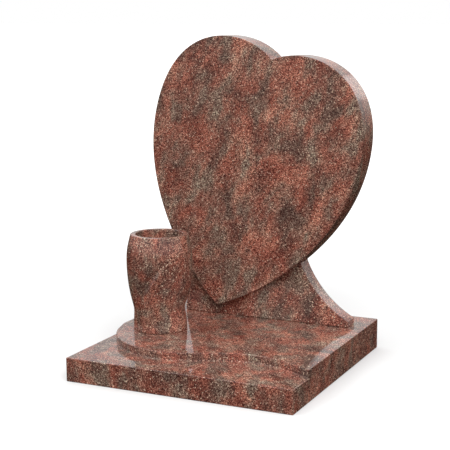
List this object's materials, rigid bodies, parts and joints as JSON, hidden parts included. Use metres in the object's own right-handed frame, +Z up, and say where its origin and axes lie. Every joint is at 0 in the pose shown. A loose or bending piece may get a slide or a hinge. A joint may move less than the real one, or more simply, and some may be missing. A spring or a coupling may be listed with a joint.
{
  "type": "heart headstone",
  "caption": "Small polished granite memorial: a leaning heart on a hollow-flanked foot, standing on a square stepped base beside a bored stone vase.",
  "frame": {"origin": "middle of the base's flat underside", "axes": "+Z up; -Y is the front, towards which the heart's face and the lower step look; +X to the right as seen from the front"},
  "size_m": [0.6, 0.6, 0.8291],
  "materials": {
    "base_granite": "polished",
    "headstone_granite": "polished",
    "vase_granite": "polished"
  },
  "bodies": {
    "root": {"base": "base_granite", "headstone": "headstone_granite", "vase": "vase_granite"}
  },
  "joints": []
}
